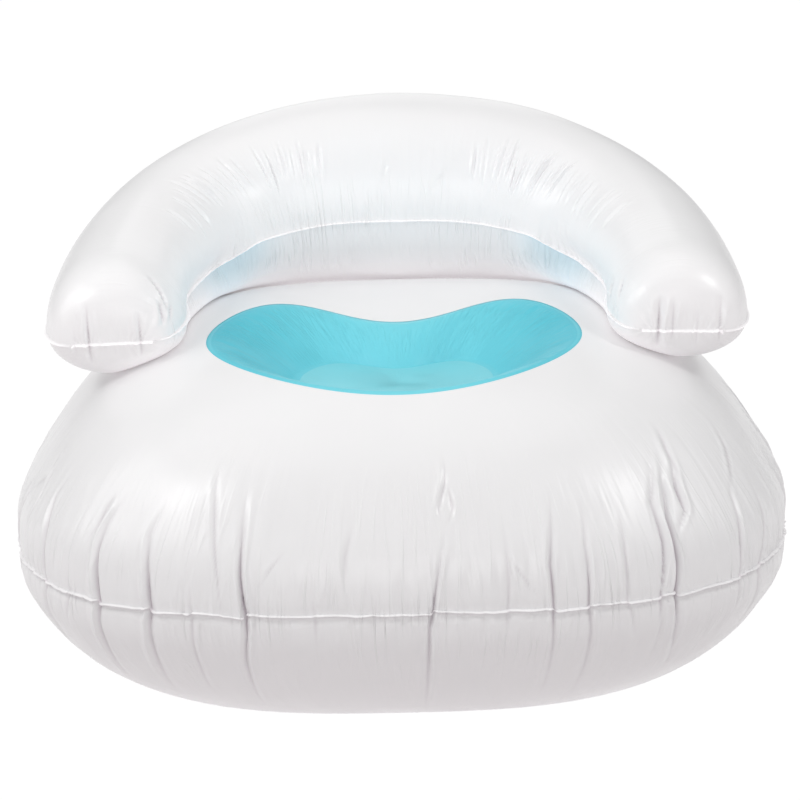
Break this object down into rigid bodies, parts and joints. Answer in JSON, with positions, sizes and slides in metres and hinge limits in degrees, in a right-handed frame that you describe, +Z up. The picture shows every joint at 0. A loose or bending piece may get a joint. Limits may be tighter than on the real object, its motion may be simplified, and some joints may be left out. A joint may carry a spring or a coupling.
{
  "type": "inflatable sofa",
  "caption": "Inflatable sofa with a domed base cushion, a kidney-shaped seat well, a horseshoe backrest tube, and a screw valve and a push valve at the back.",
  "frame": {"origin": "centre of the flat floor contact under the base cushion", "axes": "+Z up, +X to the sitter's left, +Y to the back"},
  "size_m": [1.0898, 1.055, 0.7505],
  "materials": {
    "white_film": "satin welded film, 0.4 mm",
    "cyan_film": "satin welded film, 0.4 mm",
    "pale_cyan_film": "satin welded film, 0.5 mm",
    "valve_plastic": "moulded, satin",
    "soft_rubber": "soft moulded"
  },
  "bodies": {
    "sofa": {"base_top_sheet": "white_film", "base_bottom_sheet": "white_film", "seat_well": "cyan_film", "seat_floor_patch": "pale_cyan_film", "tether_left": "white_film", "tether_middle": "white_film", "tether_right": "white_film", "tether_anchor_patch": "white_film", "backrest_upper_sheet": "white_film", "backrest_lower_sheet": "white_film", "base_valve_socket": "valve_plastic", "backrest_valve_sleeve": "valve_plastic"},
    "base_seal": {"base_valve_seal": "soft_rubber"},
    "base_screw": {"base_valve_body": "valve_plastic"},
    "base_flap": {"base_valve_flap": "soft_rubber"},
    "base_stopper": {"base_valve_plug": "valve_plastic", "base_plug_strap": "valve_plastic"},
    "back_stem": {"backrest_valve_stem": "valve_plastic"},
    "back_flap": {"backrest_valve_flap": "soft_rubber"},
    "back_stopper": {"backrest_valve_plug": "valve_plastic", "backrest_plug_strap": "valve_plastic"}
  },
  "joints": [
    {"name": "seal_lift", "type": "slide", "parent": "sofa", "child": "base_seal", "axis": [0, 0.8894, 0.4571], "range_m": [0, 0.006]},
    {"name": "valve_turn", "type": "hinge", "parent": "base_seal", "child": "base_screw", "pos_m": [0, 0.49018, 0.31263], "axis": [0, 0.8894, 0.4571], "range_deg": [0, 720]},
    {"name": "base_plug_pull", "type": "slide", "parent": "base_screw", "child": "base_stopper", "axis": [0, 0.8894, 0.4571], "range_m": [0, 0.012]},
    {"name": "base_flap_swing", "type": "hinge", "parent": "base_screw", "child": "base_flap", "pos_m": [0, 0.47809, 0.31361], "axis": [-1, 0, 0], "range_deg": [0, 35], "stiffness_Nm_per_rad": 0.0002},
    {"name": "stem_slide", "type": "slide", "parent": "sofa", "child": "back_stem", "axis": [0, 0.9658, -0.2594], "range_m": [0, 0.014]},
    {"name": "back_plug_pull", "type": "slide", "parent": "back_stem", "child": "back_stopper", "axis": [0, 0.9658, -0.2594], "range_m": [0, 0.01]},
    {"name": "back_flap_swing", "type": "hinge", "parent": "back_stem", "child": "back_flap", "pos_m": [0, 0.51328, 0.56892], "axis": [-1, 0, 0], "range_deg": [0, 35], "stiffness_Nm_per_rad": 0.0001}
  ],
  "couplings": [
    {"joint": "seal_lift", "follows": "valve_turn", "m_per_rad": 0.00047746}
  ]
}
